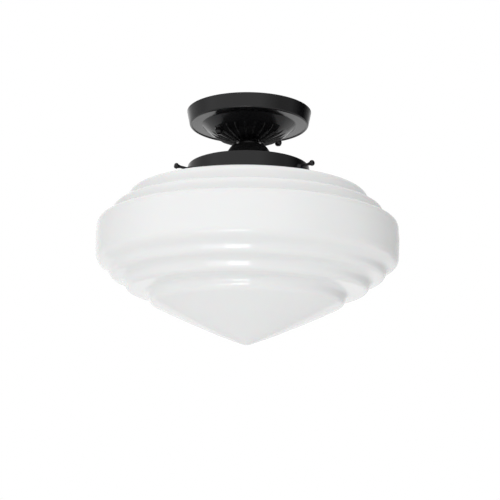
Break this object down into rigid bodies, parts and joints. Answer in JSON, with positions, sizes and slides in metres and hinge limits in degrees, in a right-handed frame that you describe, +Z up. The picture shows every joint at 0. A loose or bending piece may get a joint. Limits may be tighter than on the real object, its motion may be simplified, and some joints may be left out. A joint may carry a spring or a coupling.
{
  "type": "semi flush ceiling light",
  "caption": "Semi flush ceiling light with a ribbed black canopy, short neck, dome cup and flared shade holder carrying a stepped opal glass shade with a pointed cone bottom.",
  "frame": {"origin": "on the ceiling plane, on the vertical axis of the light, at the middle of the mounting plate's upper face", "axes": "+Z up into the ceiling, the light hangs along -Z; +X to the right of a viewer in front, +Y away from the viewer"},
  "size_m": [0.3775, 0.3776, 0.299],
  "materials": {
    "satin_black": "satin black lacquer",
    "opal_glass": "gloss opal white",
    "plated_steel": "zinc plated",
    "socket_brass": "drawn brass",
    "terminal_silver": "nickel plated",
    "porcelain": "glazed porcelain",
    "black_insulation": "matt black insulation",
    "white_insulation": "matt white insulation",
    "connector_orange": "moulded orange",
    "connector_green": "moulded green",
    "bare_copper": "bare copper",
    "ground_green": "green dyed steel"
  },
  "bodies": {
    "lamp": {"canopy": "satin_black", "neck_collar": "satin_black", "dome_cup": "satin_black", "shade_holder": "satin_black", "mounting_plate": "plated_steel", "nipple": "plated_steel", "canopy_washer": "plated_steel", "canopy_locknut": "plated_steel", "holder_washer": "plated_steel", "holder_locknut": "plated_steel", "bracket_locknut": "plated_steel", "stud_right": "plated_steel", "stud_left": "plated_steel", "stud_nut_right": "plated_steel", "stud_nut_left": "plated_steel", "socket_bracket": "plated_steel", "bracket_screws": "plated_steel", "screw_shell": "socket_brass", "centre_contact": "socket_brass", "terminal_screw_hot": "socket_brass", "terminal_screw_neutral": "terminal_silver", "socket_body": "porcelain", "lead_black": "black_insulation", "lead_white": "white_insulation", "wire_connector_black": "connector_orange", "wire_connector_white": "connector_orange", "wire_connector_ground": "connector_green", "ground_wire": "bare_copper", "ground_screw": "ground_green"},
    "shade": {"glass_shade": "opal_glass"},
    "screw_right": {"thumb_screw_right": "satin_black"},
    "screw_left": {"thumb_screw_left": "satin_black"},
    "screw_rear": {"thumb_screw_rear": "satin_black"},
    "nut_right": {"ball_nut_right": "satin_black"},
    "nut_left": {"ball_nut_left": "satin_black"}
  },
  "joints": [
    {"name": "shade_lift", "type": "slide", "parent": "lamp", "child": "shade", "axis": [0, 0, 1], "range_m": [0, 0.0015]},
    {"name": "thumb_screw_right_travel", "type": "slide", "parent": "lamp", "child": "screw_right", "axis": [0.7927, -0.5973, 0.1219], "range_m": [0, 0.005]},
    {"name": "thumb_screw_left_travel", "type": "slide", "parent": "lamp", "child": "screw_left", "axis": [-0.9136, -0.3878, 0.1219], "range_m": [0, 0.005]},
    {"name": "thumb_screw_rear_travel", "type": "slide", "parent": "lamp", "child": "screw_rear", "axis": [0.121, 0.9851, 0.1219], "range_m": [0, 0.005]},
    {"name": "ball_nut_right_travel", "type": "slide", "parent": "lamp", "child": "nut_right", "axis": [0, 0, -1], "range_m": [0, 0.006]},
    {"name": "ball_nut_left_travel", "type": "slide", "parent": "lamp", "child": "nut_left", "axis": [0, 0, -1], "range_m": [0, 0.006]}
  ]
}
